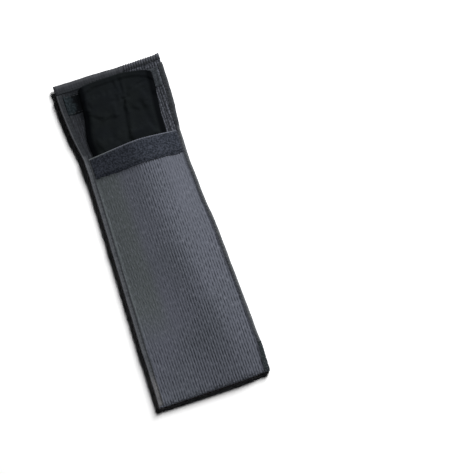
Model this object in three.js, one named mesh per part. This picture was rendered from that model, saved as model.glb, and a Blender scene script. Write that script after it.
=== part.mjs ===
// Cooling pouch for one insulin pen, in millimetres: a sewn cloth sleeve with a fold-over flap,
// and an inner wallet of water-holding crystals that slides out of its mouth.
// X runs across the pouch, Y from the folded bottom to the end of the flap, Z up from the back panel.
import * as THREE from "three";

// Cover: the sleeve and its flap, cut from one ribbed cloth.
const sleeveLength = 181; // bottom fold to mouth
const flapLength = 57; // mouth to the end of the flap
const bottomWidth = 80;
const neckWidth = 70;
const flapWidth = 78.5;
const neckLength = 13; // the straight narrow stretch below the mouth
const flareLength = 45; // over which the flap widens from the mouth
const coverCloth = 0.7;
const layerGap = 0.25; // air between two layers of cloth

// Edge tape, folded over the raw edges and sewn through.
const tapeCloth = 0.5;
const tapeWidth = 4;
const endTapeWidth = 7;
const tapeOverhang = 1; // tape end past the bottom fold
const seamEase = 0.6; // flat cloth between the tape and the rise of the front panel
const mouthStep = 4; // over which the side tape drops to one layer, past the mouth

// Hook and loop strips.
const stripWidth = 14;
const stripThickness = 1.3;
const stripEndGap = 0.6;
const loopSetback = 1; // cloth rim left between the mouth and the loop strip
const hookSetback = 9; // end of the flap to the hook strip

// Front panel: it arches over the wallet.
const foldHeight = 2.8; // how thick the pouch is along its bottom fold
const crownLength = 26; // from the bottom fold to the full height
const mouthGape = 0.6; // extra height of the open mouth
const gapeLength = 40;

// Inner wallet: two quilted panels, each of two plies with crystals between, sewn along three sides.
const plyCloth = 0.4;
const crystalThickness = 0.8;
const walletWidth = 54;
const liningMargin = 2; // lining cut back from the edge of the cover ply
const quiltHalf = 1; // half of the sewn line down the middle
const crystalRamp = 2; // slope of the plies beside a crystal pad
const padTaper = 4; // rounded end of a crystal pad
const seamMargin = 5; // edge of the wallet to its side seam
const pocketHeight = 4.8;
const walletSetback = 12; // bottom fold to the closed end of the wallet
const walletRise = 20; // from its closed end to its full height
const padSetback = 14; // closed end of the wallet to its crystals
const pocketSetback = 4; // mouth of the sleeve to the mouth of the pocket
const pocketTapeWidth = 3;

// Tail: the wallet's back panel runs on over the open flap.
const tailReach = 50; // mouth of the sleeve to the end of the tail
const tailHem = 4; // its cover ply turned over the end
const tailCornerDrop = 4; // rounding of its two corners
const foldAllowance = 5; // no crystals this close to the fold line
const bodyClearance = 0.3; // cloth left out at the fold line, where one body turns on the next

// Curves of the cloth, without unit.
const archExponent = 2.6;
const crownExponent = 1.3;
const cornerExponent = 5;
const lensExponent = 4;

// Derived places along Y.
const totalLength = sleeveLength + tapeOverhang + flapLength;
const bottomY = -totalLength / 2;
const foldTipY = bottomY + tapeOverhang;
const mouthY = foldTipY + sleeveLength;
const flapEndY = mouthY + flapLength;
const loopTopY = mouthY - loopSetback;
const hookTopY = flapEndY - hookSetback;
const foldLineY = (loopTopY + hookTopY - stripWidth) / 2;
const neckY = mouthY - neckLength;
const walletEndY = foldTipY + walletSetback;
const pocketMouthY = mouthY - pocketSetback;
const tailEndY = mouthY + tailReach;

// Derived heights.
const marginLift = tapeCloth + layerGap;
const seamTop = marginLift + 2 * coverCloth + layerGap;
const oneLayerTape = 2 * (tapeCloth + layerGap) + coverCloth;
const twoLayerTape = oneLayerTape + layerGap + coverCloth;
const hookTop = coverCloth + layerGap + stripThickness;
const walletBase = Math.max(hookTop, oneLayerTape) + layerGap;
const padSpace = crystalThickness + layerGap;
const panelStack = 2 * plyCloth + layerGap + padSpace;
const walletTop = walletBase + 2 * panelStack + pocketHeight;
const walletEdgeTop = walletBase + 2 * plyCloth + layerGap;
const walletEndTop = walletBase + 4 * plyCloth + 3 * layerGap;
const crownTop = walletTop + layerGap + coverCloth;
const loopTop = crownTop + mouthGape + layerGap + stripThickness;
const tailTop = walletBase + panelStack;
const hingeZ = (loopTop + 2 * layerGap + tailTop) / 2;

// Derived places across X.
const walletHalf = walletWidth / 2;
const liningHalf = walletHalf - liningMargin;
const walletSeam = walletHalf - seamMargin;
const padInner = quiltHalf + crystalRamp;
const padOuter = walletSeam - crystalRamp;

const cloth = {
  cover: { color: 0x50535b, roughness: 0.95 },
  tape: { color: 0x40444c, roughness: 0.9 },
  loop: { color: 0x2d3139, roughness: 1 },
  hook: { color: 0x25292d, roughness: 0.7 },
  ply: { color: 0x15181c, roughness: 0.85 },
  lining: { color: 0x1d2025, roughness: 0.9 },
  crystal: { color: 0xdfe2e2, roughness: 0.5 },
};

const group = new THREE.Group();

function addPiece(name, geometry, finish) {
  const mesh = new THREE.Mesh(geometry, new THREE.MeshStandardMaterial({ metalness: 0, ...cloth[finish] }));
  mesh.name = name;
  group.add(mesh);
}

const clampShare = (share) => THREE.MathUtils.clamp(share, 0, 1);

// Even stations from start to end, with both ends.
function evenly(start, end, steps) {
  return Array.from({ length: steps + 1 }, (unused, i) => THREE.MathUtils.lerp(start, end, i / steps));
}

// Mirrors stations of the right half, which start at 0, into stations right across.
function bothSides(stations) {
  const left = stations.slice(1).map((x) => -x).reverse();
  return [...left, ...stations];
}

// Triangles that close the end ring of a loft, turning the same way round as the ring does.
// flatten turns a point of the ring into the plane of that end.
function endTriangles(ring, flatten) {
  const outline = ring.map(flatten);
  const triangles = THREE.ShapeUtils.triangulateShape([...outline], []);
  return THREE.ShapeUtils.isClockWise(outline) ? triangles.map(([a, b, c]) => [c, b, a]) : triangles;
}

// Joins closed rings of equally many points into one closed body with flat ends, facing out.
function loft(rings, flatten) {
  const count = rings[0].length;
  const points = rings.flat();
  const triangles = [];
  for (let r = 0; r + 1 < rings.length; r += 1) {
    for (let i = 0; i < count; i += 1) {
      const a = r * count + i;
      const b = r * count + ((i + 1) % count);
      const [c, d] = [b + count, a + count];
      const acrossShort = points[b].distanceTo(points[d]) <= points[a].distanceTo(points[c]);
      triangles.push(...(acrossShort ? [[a, b, d], [b, c, d]] : [[a, b, c], [a, c, d]]));
    }
  }
  const lastStart = points.length - count;
  triangles.push(...endTriangles(rings[0], flatten).map(([a, b, c]) => [c, b, a]));
  triangles.push(...endTriangles(rings.at(-1), flatten).map((corners) => corners.map((i) => lastStart + i)));
  const volume = triangles.reduce(
    (sum, [a, b, c]) => sum + points[a].dot(new THREE.Vector3().crossVectors(points[b], points[c])),
    0,
  );
  const indices = volume < 0 ? triangles.flat().reverse() : triangles.flat();
  const geometry = new THREE.BufferGeometry().setFromPoints(points).setIndex(indices);
  geometry.computeVertexNormals();
  return geometry;
}

const acrossPlane = (point) => new THREE.Vector2(point.x, point.z);
const alongPlane = (point) => new THREE.Vector2(point.y, point.z);

// A layer between two heights, lofted along Y over columns that may move with Y.
// bend gives the place along Y of a column, for a layer whose end isn't straight.
function layer({ rows, columnsAt, low, high, bend = (x, y) => y }) {
  const rings = rows.map((y) => {
    const columns = columnsAt(y);
    const under = columns.map((x) => new THREE.Vector3(x, bend(x, y), low(x, y)));
    const over = columns.map((x) => new THREE.Vector3(x, bend(x, y), high(x, y)));
    return [...under, ...over.reverse()];
  });
  return loft(rings, acrossPlane);
}

// A layer that runs out below, turns over at turnY and comes back above, as one piece of cloth.
// direction is the way along Y that it runs out in; low and high are its outer heights.
function foldedLayer({
  lowerRows,
  upperRows,
  turnY,
  direction,
  columnsAt,
  low,
  high,
  thickness,
  bend = (x, y) => y,
}) {
  const turnSteps = 6;
  const pair = (y, outerPoint, innerPoint) => {
    const columns = columnsAt(y);
    return [...columns.map(outerPoint), ...columns.map(innerPoint).reverse()];
  };
  const place = (x, y, z) => new THREE.Vector3(x, bend(x, y), z);
  const rings = [];
  for (const y of lowerRows) {
    rings.push(pair(y, (x) => place(x, y, low(x, y)), (x) => place(x, y, low(x, y) + thickness)));
  }
  for (let step = 1; step < turnSteps; step += 1) {
    const angle = (Math.PI * step) / turnSteps;
    const turned = (inset) => (x) => {
      const lowest = low(x, turnY);
      const radius = (high(x, turnY) - lowest) / 2;
      const reach = direction * (radius - inset) * Math.sin(angle);
      const point = place(x, turnY, lowest + radius - (radius - inset) * Math.cos(angle));
      point.y += reach;
      return point;
    };
    rings.push(pair(turnY, turned(0), turned(thickness)));
  }
  for (const y of upperRows) {
    const under = (x) => high(x, y) - thickness * steepness(high, x, y);
    rings.push(pair(y, (x) => place(x, y, high(x, y)), (x) => place(x, y, under(x))));
  }
  return loft(rings, acrossPlane);
}

// How much longer a vertical cut through a sloping layer is than its thickness.
function steepness(height, x, y) {
  const probe = coverCloth / 10;
  const slopeX = (height(x + probe, y) - height(x - probe, y)) / (2 * probe);
  const slopeY = (height(x, y + probe) - height(x, y - probe)) / (2 * probe);
  return Math.hypot(1, slopeX, slopeY);
}

// Section of a tape folded over an edge: outer is the fold, width the depth of its two legs.
function tapeSection(outer, width, thickness, low, high) {
  const back = outer - width;
  const inner = outer - thickness;
  return [
    [back, low],
    [inner, low],
    [outer, low + thickness],
    [outer, high - thickness],
    [inner, high],
    [back, high],
    [back, high - thickness],
    [inner, high - thickness],
    [inner, low + thickness],
    [back, low + thickness],
  ];
}

// Half of the cover's width, out to the fold of its side tape.
function coverHalf(y) {
  const taper = clampShare((y - bottomY) / (neckY - bottomY));
  const flare = clampShare((y - mouthY) / flareLength);
  const sleeve = THREE.MathUtils.lerp(bottomWidth, neckWidth, taper);
  return (sleeve + (flapWidth - neckWidth) * (1 - (1 - flare) ** 2)) / 2;
}

const seamHalf = (y) => coverHalf(y) - tapeWidth - seamEase;
const clothHalf = (y) => coverHalf(y) - tapeCloth - layerGap;

const archShares = [0, 0.2, 0.4, 0.56, 0.7, 0.82, 0.92, 1];
const flatShare = archShares.at(-2);

function coverColumns(y) {
  return bothSides([...archShares.map((share) => share * seamHalf(y)), clothHalf(y)]);
}

// Underside of the back panel and flap: flat, and lifted at the sides to make room for the tape.
function sideLift(x, y) {
  const start = flatShare * seamHalf(y);
  return marginLift * clampShare((Math.abs(x) - start) / (seamHalf(y) - start));
}

// Top of the front panel along the middle, but for the gape of its mouth.
function crownRoof(y) {
  const rise = Math.sin((Math.PI / 2) * clampShare((y - foldTipY) / crownLength)) ** crownExponent;
  return THREE.MathUtils.lerp(foldHeight, crownTop, rise);
}

function crownHeight(y) {
  return crownRoof(y) + mouthGape * THREE.MathUtils.smoothstep(y, mouthY - gapeLength, mouthY);
}

function archShare(x, half) {
  return 1 - clampShare(Math.abs(x) / half) ** archExponent;
}

const frontTop = (x, y) => THREE.MathUtils.lerp(seamTop, crownHeight(y), archShare(x, seamHalf(y)));

// Sleeve: back panel, bottom fold and front panel in one cloth.
const turnY = foldTipY + foldHeight / 2;
addPiece(
  "sleeve_cloth",
  foldedLayer({
    lowerRows: [foldLineY - bodyClearance / 2, mouthY, neckY, ...evenly(neckY, turnY, 6).slice(1)],
    upperRows: [
      ...evenly(turnY, foldTipY + crownLength, 8),
      ...evenly(foldTipY + crownLength, mouthY - gapeLength, 4).slice(1),
      ...evenly(mouthY - gapeLength, mouthY, 8).slice(1),
    ],
    turnY,
    direction: -1,
    columnsAt: coverColumns,
    low: sideLift,
    high: frontTop,
    thickness: coverCloth,
  }),
  "cover",
);

// Loop strip, sewn on the front panel just below the mouth.
function stripColumns(y) {
  const inner = archShares.slice(0, -1).map((share) => share * seamHalf(y));
  return bothSides([...inner, seamHalf(y) - stripEndGap]);
}
addPiece(
  "loop_strip",
  layer({
    rows: evenly(loopTopY - stripWidth, loopTopY, 4),
    columnsAt: stripColumns,
    low: (x, y) => frontTop(x, y) + layerGap * steepness(frontTop, x, y),
    high: (x, y) => frontTop(x, y) + (layerGap + stripThickness) * steepness(frontTop, x, y),
  }),
  "loop",
);

// Side tapes of the sleeve: over two layers up to the mouth, and over one from there to the fold line.
const sides = { left: -1, right: 1 };
function sideTape(side, rows, topAt) {
  const rings = rows.map((y) => {
    const section = tapeSection(coverHalf(y), tapeWidth, tapeCloth, 0, topAt(y));
    return section.map(([out, z]) => new THREE.Vector3(side * out, y, z));
  });
  return loft(rings, acrossPlane);
}
function sleeveTapeTop(y) {
  return THREE.MathUtils.lerp(twoLayerTape, oneLayerTape, clampShare((y - mouthY) / mouthStep));
}
const sleeveTapeRows = [
  ...evenly(bottomY, neckY, 6),
  mouthY,
  ...evenly(mouthY + mouthStep, foldLineY - bodyClearance / 2, 4),
];
for (const [name, side] of Object.entries(sides)) {
  addPiece(`sleeve_tape_${name}`, sideTape(side, sleeveTapeRows, sleeveTapeTop), "tape");
}

// Flap: the back panel's cloth from the fold line on, lifted at its end for the end tape.
const flapStartY = foldLineY + bodyClearance / 2;
const clothEndY = flapEndY - tapeCloth - layerGap;
const endLiftY = flapEndY - endTapeWidth - seamEase;
const endLiftStartY = endLiftY - seamEase;
const endLift = (y) => marginLift * clampShare((y - endLiftStartY) / (endLiftY - endLiftStartY));
const flapLow = (x, y) => Math.max(sideLift(x, y), endLift(y));
addPiece(
  "flap_cloth",
  layer({
    rows: [...evenly(flapStartY, endLiftStartY, 8), endLiftY, clothEndY],
    columnsAt: coverColumns,
    low: flapLow,
    high: (x, y) => flapLow(x, y) + coverCloth,
  }),
  "cover",
);

// Hook strip, sewn on the inner face of the flap, where the folded flap meets the loops. It is flat and
// ends where the margin lifts over the tapes, so that the wallet slides out over it.
addPiece(
  "hook_strip",
  layer({
    rows: evenly(hookTopY - stripWidth, hookTopY, 2),
    columnsAt: (y) => bothSides([0, flatShare * seamHalf(y)]),
    low: () => coverCloth + layerGap,
    high: () => hookTop,
  }),
  "hook",
);

const flapTapeRows = evenly(flapStartY, flapEndY - endTapeWidth - layerGap, 6);
for (const [name, side] of Object.entries(sides)) {
  addPiece(`flap_tape_${name}`, sideTape(side, flapTapeRows, () => oneLayerTape), "tape");
}

const endTapeSection = tapeSection(flapEndY, endTapeWidth, tapeCloth, 0, oneLayerTape);
const endTapeHalf = coverHalf(flapEndY);
const endTapeRings = evenly(-endTapeHalf, endTapeHalf, 4).map((x) => {
  return endTapeSection.map(([y, z]) => new THREE.Vector3(x, y, z));
});
addPiece("flap_tape_end", loft(endTapeRings, alongPlane), "tape");

// Wallet columns: the quilted middle, the crystal pad, the side seam, and the edge of the ply.
const padColumns = evenly(padInner, padOuter, 5);
const withEdges = (columns) => [-walletHalf, ...columns, walletHalf];
const archedColumns = bothSides([0, quiltHalf, ...padColumns, walletSeam, liningHalf]);
const flatColumns = bothSides([0, quiltHalf, padInner, padOuter, walletSeam, liningHalf]);

// Share of the room for crystals that is open at a place: none on the sewn lines, all of it over a pad.
function padOpening(x, y, padStartY, padEndY) {
  const across = Math.min(Math.abs(x) - quiltHalf, walletSeam - Math.abs(x));
  const along = Math.min(y - padStartY, padEndY - y) + crystalRamp;
  return clampShare(across / crystalRamp) * clampShare(along / crystalRamp);
}

const backPadStartY = walletEndY + padSetback;
const backPadEndY = foldLineY - foldAllowance;
const frontPadEndY = pocketMouthY - pocketTapeWidth - crystalRamp;
const tailPadStartY = foldLineY + foldAllowance;
const tailPadEndY = tailEndY - tailHem - tailCornerDrop;
const backOpening = (x, y) => padOpening(x, y, backPadStartY, backPadEndY);
const frontOpening = (x, y) => padOpening(x, y, backPadStartY, frontPadEndY);
const tailOpening = (x, y) => padOpening(x, y, tailPadStartY, tailPadEndY);

const backCoverTop = walletBase + plyCloth;
const liningAbove = (opening) => (x, y) => backCoverTop + layerGap + padSpace * opening(x, y);

// The front cover ply: it swells from the closed end, and dips at the pocket's mouth to make room for
// its tape.
const pocketDip = plyCloth + layerGap;
function walletCrown(y) {
  const rise = Math.sin((Math.PI / 2) * clampShare((y - walletEndY) / walletRise));
  const room = crownRoof(y) - (crownTop - walletTop);
  const dip = clampShare((y - frontPadEndY) / crystalRamp);
  return THREE.MathUtils.lerp(walletEndTop, room, rise) - pocketDip * dip;
}
function walletFront(x, y) {
  const swell = THREE.MathUtils.lerp(walletEndTop, walletCrown(y), archShare(x, liningHalf));
  return THREE.MathUtils.lerp(swell, walletEdgeTop, clampShare((Math.abs(x) - liningHalf) / liningMargin));
}
const belowFront = (depth) => (x, y) => walletFront(x, y) - depth(x, y);
const frontLiningDepth = (x, y) => plyCloth + layerGap + padSpace * frontOpening(x, y);

const padRows = (startY, endY, steps) => [startY, ...evenly(startY + padTaper, endY - padTaper, steps), endY];
const liningRows = (startY, padStartY, padEndY, endY) => [
  startY,
  padStartY - crystalRamp,
  padStartY,
  padEndY,
  padEndY + crystalRamp,
  endY,
];
const backEndY = foldLineY - bodyClearance / 2;
const frontRows = [
  ...evenly(walletEndY, backPadStartY - crystalRamp, 4),
  ...padRows(backPadStartY, frontPadEndY, 6),
  frontPadEndY + crystalRamp,
  pocketMouthY - plyCloth - layerGap,
];

addPiece(
  "wallet_back_cover",
  layer({
    rows: [walletEndY, backEndY],
    columnsAt: () => [-walletHalf, walletHalf],
    low: () => walletBase,
    high: () => backCoverTop,
  }),
  "ply",
);
addPiece(
  "wallet_back_lining",
  layer({
    rows: liningRows(walletEndY, backPadStartY, backPadEndY, backEndY),
    columnsAt: () => flatColumns,
    low: liningAbove(backOpening),
    high: (x, y) => liningAbove(backOpening)(x, y) + plyCloth,
  }),
  "lining",
);
addPiece(
  "wallet_front_cover",
  layer({
    rows: frontRows,
    columnsAt: () => withEdges(archedColumns),
    low: belowFront(() => plyCloth),
    high: walletFront,
  }),
  "ply",
);
addPiece(
  "wallet_front_lining",
  layer({
    rows: frontRows,
    columnsAt: () => archedColumns,
    low: belowFront((x, y) => frontLiningDepth(x, y) + plyCloth),
    high: belowFront(frontLiningDepth),
  }),
  "lining",
);

// Crystal pads: lens-shaped, one each side of the quilted middle, in every quilted panel.
function lens(x, y, startY, endY) {
  const across = (2 * (Math.abs(x) - padInner)) / (padOuter - padInner) - 1;
  const along = clampShare(Math.min(y - startY, endY - y) / padTaper);
  const edgeShare = 0.15;
  const fullness = (1 - Math.abs(across) ** lensExponent) * along;
  return crystalThickness * THREE.MathUtils.lerp(edgeShare, 1, fullness);
}
function addPads(prefix, startY, endY, steps, lowAt) {
  for (const [name, side] of Object.entries(sides)) {
    addPiece(
      `${prefix}_crystals_${name}`,
      layer({
        rows: padRows(startY, endY, steps),
        columnsAt: () => (side < 0 ? padColumns.map((x) => -x).reverse() : padColumns),
        low: lowAt,
        high: (x, y) => lowAt(x, y) + lens(x, y, startY, endY),
      }),
      "crystal",
    );
  }
}
const padBase = () => backCoverTop + layerGap;
addPads("wallet_back", backPadStartY, backPadEndY, 6, padBase);
addPads("wallet_front", backPadStartY, frontPadEndY, 6, belowFront(() => plyCloth + padSpace));
addPads("tail", tailPadStartY, tailPadEndY, 1, padBase);

// Tape over the front panel's two plies at the mouth of the pocket.
const pocketColumns = bothSides([0, quiltHalf, ...padColumns]);
const liningUnder = belowFront((x, y) => frontLiningDepth(x, y) + plyCloth);
addPiece(
  "pocket_tape",
  loft(
    pocketColumns.map((x) => {
      const low = liningUnder(x, pocketMouthY) - pocketDip;
      const high = walletFront(x, pocketMouthY) + pocketDip;
      const section = tapeSection(pocketMouthY, pocketTapeWidth, plyCloth, low, high);
      return section.map(([y, z]) => new THREE.Vector3(x, y, z));
    }),
    alongPlane,
  ),
  "ply",
);

// Tail of the wallet, past the fold line: its cover ply is turned over the end as a hem.
const tailStartY = foldLineY + bodyClearance / 2;
const hemHeight = 3 * plyCloth + 2 * layerGap;
const tailTurnY = tailEndY - hemHeight / 2;
const liningEndY = tailTurnY - plyCloth;
function tailBend(x, y) {
  const along = clampShare((y - tailPadEndY) / (tailEndY - tailPadEndY));
  return y - tailCornerDrop * along * (Math.abs(x) / walletHalf) ** cornerExponent;
}
addPiece(
  "tail_cover",
  foldedLayer({
    lowerRows: [tailStartY, tailPadEndY, tailTurnY],
    upperRows: [tailTurnY, tailTurnY - tailHem],
    turnY: tailTurnY,
    direction: 1,
    columnsAt: () => withEdges(flatColumns),
    low: () => walletBase,
    high: () => walletBase + hemHeight,
    thickness: plyCloth,
    bend: tailBend,
  }),
  "ply",
);
addPiece(
  "tail_lining",
  layer({
    rows: liningRows(tailStartY, tailPadStartY, tailPadEndY, liningEndY),
    columnsAt: () => flatColumns,
    low: liningAbove(tailOpening),
    high: (x, y) => liningAbove(tailOpening)(x, y) + plyCloth,
    bend: tailBend,
  }),
  "lining",
);

export default group;
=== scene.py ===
# Looks of a cooling pouch for one insulin pen: a sleeve of corded cloth with a fold-over flap, lying open
# on its back, and the quilted black wallet that slides in it. Sizes are in millimetres, and mm turns them
# into Blender's metres. X runs across the pouch, Y from its folded bottom to the end of its flap, Z up.
import math

import bpy
import numpy as np
from mathutils import Matrix, Vector, noise


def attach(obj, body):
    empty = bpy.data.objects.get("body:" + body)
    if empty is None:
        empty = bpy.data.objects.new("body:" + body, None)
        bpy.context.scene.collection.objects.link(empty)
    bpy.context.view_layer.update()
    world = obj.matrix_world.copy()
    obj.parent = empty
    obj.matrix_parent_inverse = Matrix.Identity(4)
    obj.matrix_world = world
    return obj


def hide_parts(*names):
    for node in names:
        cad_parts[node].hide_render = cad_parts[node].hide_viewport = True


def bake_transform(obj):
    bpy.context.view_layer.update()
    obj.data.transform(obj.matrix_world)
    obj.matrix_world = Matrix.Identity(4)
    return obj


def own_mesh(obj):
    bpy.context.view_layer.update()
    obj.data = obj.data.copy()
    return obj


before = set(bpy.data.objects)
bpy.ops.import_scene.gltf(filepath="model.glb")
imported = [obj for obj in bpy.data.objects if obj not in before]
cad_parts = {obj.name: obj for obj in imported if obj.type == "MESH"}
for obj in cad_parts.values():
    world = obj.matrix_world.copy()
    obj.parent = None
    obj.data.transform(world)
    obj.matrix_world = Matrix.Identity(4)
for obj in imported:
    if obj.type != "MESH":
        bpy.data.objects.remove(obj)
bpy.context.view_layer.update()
mm = 0.001

# Camera: it looks down on the pouch from 0.9 m, a little from below its folded end, and is turned so that
# the pouch leans to the left of the picture.
camera_place = Vector((14.9, -143.25, 891.27)) * mm
camera_aim = Vector((49.28, -23.04, 0)) * mm
picture_up = Vector((0.325, 0.946, 0))

bpy.ops.object.select_all(action="DESELECT")
bpy.ops.object.camera_add(location=camera_place)
camera = bpy.context.object
camera_back = (camera_place - camera_aim).normalized()
camera_right = picture_up.cross(camera_back).normalized()
camera_axes = Matrix((camera_right, camera_back.cross(camera_right), camera_back)).transposed()
camera.rotation_euler = camera_axes.to_euler()
camera.data.sensor_width = 36
camera.data.lens = 98.23
bpy.context.scene.camera = camera
bpy.context.scene.view_settings.view_transform = "Standard"

# Studio: a white table top, one soft lamp high on the upper right of the picture, and a wide overhead
# panel that fills the shadows on the pouch but is flagged off the table, so that the pouch throws a deep
# shadow. To the camera the table is brighter than it is to the pouch, and the room is plain white.
floor_depth = 0.1  # the table lies this far under the cloth, so that the two never share a plane
floor_size = 6000
floor_grey = "#c8c8c8"
floor_gain = 2.8  # how much brighter the camera sees the table
key_direction = Vector((0.65, 0.65, 0.378))
key_distance = 2500
key_size = 850
key_power = 74
fill_height = 1200
fill_size = 1500
fill_power = 10
room_strength = 0.001


def srgb(code):
    """The linear colour of an sRGB hex code."""
    channels = [int(code[i : i + 2], 16) / 255 for i in (1, 3, 5)]
    linear = [c / 12.92 if c <= 0.04045 else ((c + 0.055) / 1.055) ** 2.4 for c in channels]
    return (*linear, 1)


def add_node(tree, kind, inputs=None, **settings):
    """Adds a node with its settings. An input is given by its name or number, as a value, as an output
    socket to link from, or as a node, whose first output in use is linked."""
    node = tree.nodes.new(kind)
    for name, value in settings.items():
        setattr(node, name, value)
    for name, value in (inputs or {}).items():
        socket = next(s for i, s in enumerate(node.inputs) if name in (i, s.identifier, s.name))
        if isinstance(value, bpy.types.Node):
            value = next(s for s in value.outputs if s.enabled)
        if isinstance(value, bpy.types.NodeSocket):
            tree.links.new(value, socket)
        else:
            socket.default_value = value
    return node


def new_finish(name):
    """A new material and its empty node tree."""
    finish = bpy.data.materials.new(name)
    finish.use_nodes = True
    finish.node_tree.nodes.clear()
    return finish, finish.node_tree


bpy.ops.mesh.primitive_plane_add(size=floor_size * mm, location=(0, 0, -floor_depth * mm))
floor = bpy.context.object
floor.name = "table_top"
white_laminate, tree = new_finish("white_laminate")
matt = add_node(tree, "ShaderNodeBsdfDiffuse", {"Color": srgb(floor_grey)})
bright = add_node(tree, "ShaderNodeBsdfDiffuse", {"Color": (floor_gain, floor_gain, floor_gain, 1)})
rays = add_node(tree, "ShaderNodeLightPath")
chosen = add_node(tree, "ShaderNodeMixShader", {"Fac": rays.outputs["Is Camera Ray"], 1: matt, 2: bright})
add_node(tree, "ShaderNodeOutputMaterial", {"Surface": chosen})
floor.data.materials.append(white_laminate)

bpy.ops.object.light_add(type="AREA", location=key_direction.normalized() * key_distance * mm)
key_lamp = bpy.context.object
key_lamp.rotation_euler = key_direction.to_track_quat("Z", "Y").to_euler()
key_lamp.data.size = key_size * mm
key_lamp.data.energy = key_power

bpy.ops.object.light_add(type="AREA", location=(0, 0, fill_height * mm))
fill_lamp = bpy.context.object
fill_lamp.data.size = fill_size * mm
fill_lamp.data.energy = fill_power
flagged_off = bpy.data.collections.new("flagged_off_the_fill")
flagged_off.objects.link(floor)
fill_lamp.light_linking.receiver_collection = flagged_off
flagged_off.collection_objects[0].light_linking.link_state = "EXCLUDE"

room = bpy.data.worlds.new("pale_room")
bpy.context.scene.world = room
room.use_nodes = True
tree = room.node_tree
tree.nodes.clear()
rays = add_node(tree, "ShaderNodeLightPath")
direct = add_node(
    tree,
    "ShaderNodeMath",
    {0: rays.outputs["Is Camera Ray"], 1: rays.outputs["Is Transmission Ray"]},
    operation="MAXIMUM",
)
strength = add_node(tree, "ShaderNodeMapRange", {"Value": direct, "To Min": room_strength})
backdrop = add_node(tree, "ShaderNodeBackground", {"Color": srgb("#ffffff"), "Strength": strength})
add_node(tree, "ShaderNodeOutputWorld", {"Surface": backdrop})

# Cover: the sleeve and its flap are one length of corded polyester cloth, folded at the bottom of the
# pouch. Its back half runs on past the mouth as the flap. The cords lie along it, and press flatter
# towards the sides, where the cloth is stretched.
bottom_width = 80
neck_width = 70
flap_width = 78.5
bottom_y = -119.5
fold_tip_y = -118.5
neck_y = 49.5
mouth_y = 62.5
flap_end_y = 119.5
flare_length = 45
cover_cloth = 0.7
layer_gap = 0.25
tape_cloth = 0.5
tape_width = 4
end_tape_width = 7
seam_ease = 0.6
margin_lift = tape_cloth + layer_gap
seam_top = margin_lift + 2 * cover_cloth + layer_gap
fold_height = 3.1
fold_side_height = 2.8
fold_press = 0.7  # depth of the bottom fold, which was pressed with an iron, as a share of a round one
crown_length = 110
crown_top = 12.45
ridge_round = 0.44  # how softly the front panel turns over its ridge, without unit
mouth_gape = 0.6
gape_length = 40
cord_pitch = 1.85
cord_depth = 0.3
cord_steps = 6  # columns of faces to a cord


def clamp(share):
    return np.clip(share, 0, 1)


def smooth(share):
    return clamp(share) ** 2 * (3 - 2 * clamp(share))


def mix(low, high, share):
    return low + (high - low) * share


def cover_half(y):
    """Half of the cover's width, out to the fold of its side tape."""
    taper = clamp((y - bottom_y) / (neck_y - bottom_y))
    flare = clamp((y - mouth_y) / flare_length)
    sleeve = mix(bottom_width, neck_width, taper)
    return (sleeve + (flap_width - neck_width) * (1 - (1 - flare) ** 2)) / 2


def right_bow(y):
    """How far the cloth has eased outwards along its right side, most of all below the middle."""
    along = smooth((y + 119) / 22) * (1 - smooth((y + 19) / 44))
    return 0.6 + 1.4 * along + 0.7 * np.exp(-(((y - 60) / 14) ** 2)) - 0.2 * smooth((y - 78) / 20)


def left_draw(y):
    """How far the cloth is drawn in along its left side, near the bottom."""
    return 0.55 * smooth((-72 - y) / 36)


def tape_share(side, y):
    """How wide a side tape shows: the right one was fed in narrower, up to the flap."""
    return 1 if side < 0 else mix(0.55, 0.9, smooth((y - mouth_y) / 12))


def seam_half(y):
    return cover_half(y) - tape_width - seam_ease


def right_seam(y):
    return cover_half(y) + right_bow(y) - tape_width * tape_share(1, y) - seam_ease


def edge_curl(x, y):
    """The flap's left edge curls up off the table a little, from the neck of the pouch on."""
    return 1.1 * smooth((-x - 27) / 12) * smooth((y - neck_y + 8) / 18)


def back_height(x, y):
    """Outer face of the back panel and flap: flat, and lifted where the tapes run under it."""
    start = 0.92 * seam_half(y)
    side = smooth((np.abs(x) - start) / (seam_half(y) - start))
    end = smooth((y - flap_end_y + end_tape_width + 2 * seam_ease) / seam_ease)
    return margin_lift * np.maximum(side, end) + edge_curl(x, y)


def crown_height(y):
    rise = np.sin(math.pi / 2 * clamp((y - fold_tip_y) / crown_length)) ** 0.9
    gape = mouth_gape * smooth((y - mouth_y + gape_length) / gape_length)
    return mix(fold_height, crown_top, rise) + gape


def front_height(x, y):
    """Outer face of the front panel: pitched like a low roof over the wallet. Its rounded ridge lies
    right of the middle, and further right towards the bottom."""
    ridge = mix(20, 6, smooth((y + 96) / 120))
    left = (x + seam_half(y) - left_draw(y)) / (ridge + seam_half(y) - left_draw(y))
    right = (right_seam(y) - x) / (right_seam(y) - ridge)
    pitch = (left + right - np.sqrt((left - right) ** 2 + ridge_round**2)) / (2 - ridge_round)
    side_top = mix(fold_side_height, seam_top, smooth((y - fold_tip_y) / 10))
    return mix(side_top, crown_height(y), clamp(pitch))


def unevenness(x, y, size, seed):
    """Smooth noise from -1 to 1, with bumps of about that size."""
    return np.array([noise.noise(Vector((a / size, b / size, seed))) for a, b in zip(x, y)])


def read_points(piece, kind="co"):
    """The place of every vertex, or its normal."""
    values = np.empty((len(piece.data.vertices), 3))
    piece.data.vertices.foreach_get(kind, values.ravel())
    return values


def write_points(piece, points):
    piece.data.vertices.foreach_set("co", points.ravel())


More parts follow.
